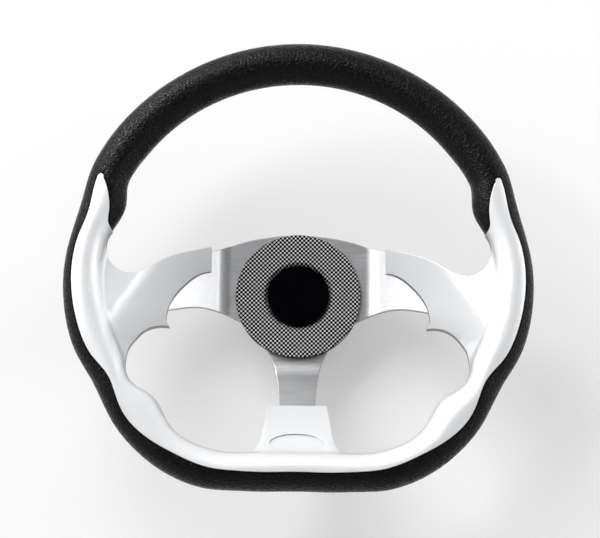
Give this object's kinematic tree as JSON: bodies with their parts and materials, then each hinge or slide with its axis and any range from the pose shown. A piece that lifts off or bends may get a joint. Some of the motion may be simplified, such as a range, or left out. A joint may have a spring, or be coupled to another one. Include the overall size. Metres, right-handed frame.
{
  "type": "boat steering wheel",
  "caption": "Flat-bottomed boat steering wheel with a padded grip, a silver front bezel, an aluminium spoke plate and a hub with a capped recess.",
  "frame": {"origin": "centre of the hub's rear face, on the steering axis", "axes": "+Z along the steering axis towards the driver, +Y to the top of the rim, +X to the driver's right"},
  "size_m": [0.3488, 0.3404, 0.1255],
  "materials": {
    "core_steel": "satin",
    "grip_foam": "grained, semi-matte",
    "brushed_plate": "brushed",
    "bracket_steel": "satin",
    "fastener_steel": "satin",
    "silver_paint": "satin silver paint on moulded plastic",
    "black_plastic": "matte",
    "black_screws": "matte",
    "cast_hub": "machined",
    "printed_ring": "semi-gloss, finely printed",
    "cap_plastic": "gloss"
  },
  "bodies": {
    "root": {"rim_core": "core_steel", "grip": "grip_foam", "spoke_plate": "brushed_plate", "bracket_left": "bracket_steel", "bracket_right": "bracket_steel", "bracket_bottom": "bracket_steel", "spoke_bolts": "fastener_steel", "spoke_nuts": "fastener_steel", "front_bezel": "silver_paint", "rear_cover_left": "black_plastic", "rear_cover_right": "black_plastic", "rear_cover_bottom": "black_plastic", "cover_screws": "black_screws", "hub_body": "cast_hub", "hub_screws": "fastener_steel", "hub_cover": "printed_ring", "centre_cap": "cap_plastic", "rear_shroud": "black_plastic", "shroud_screws": "black_screws"}
  },
  "joints": []
}
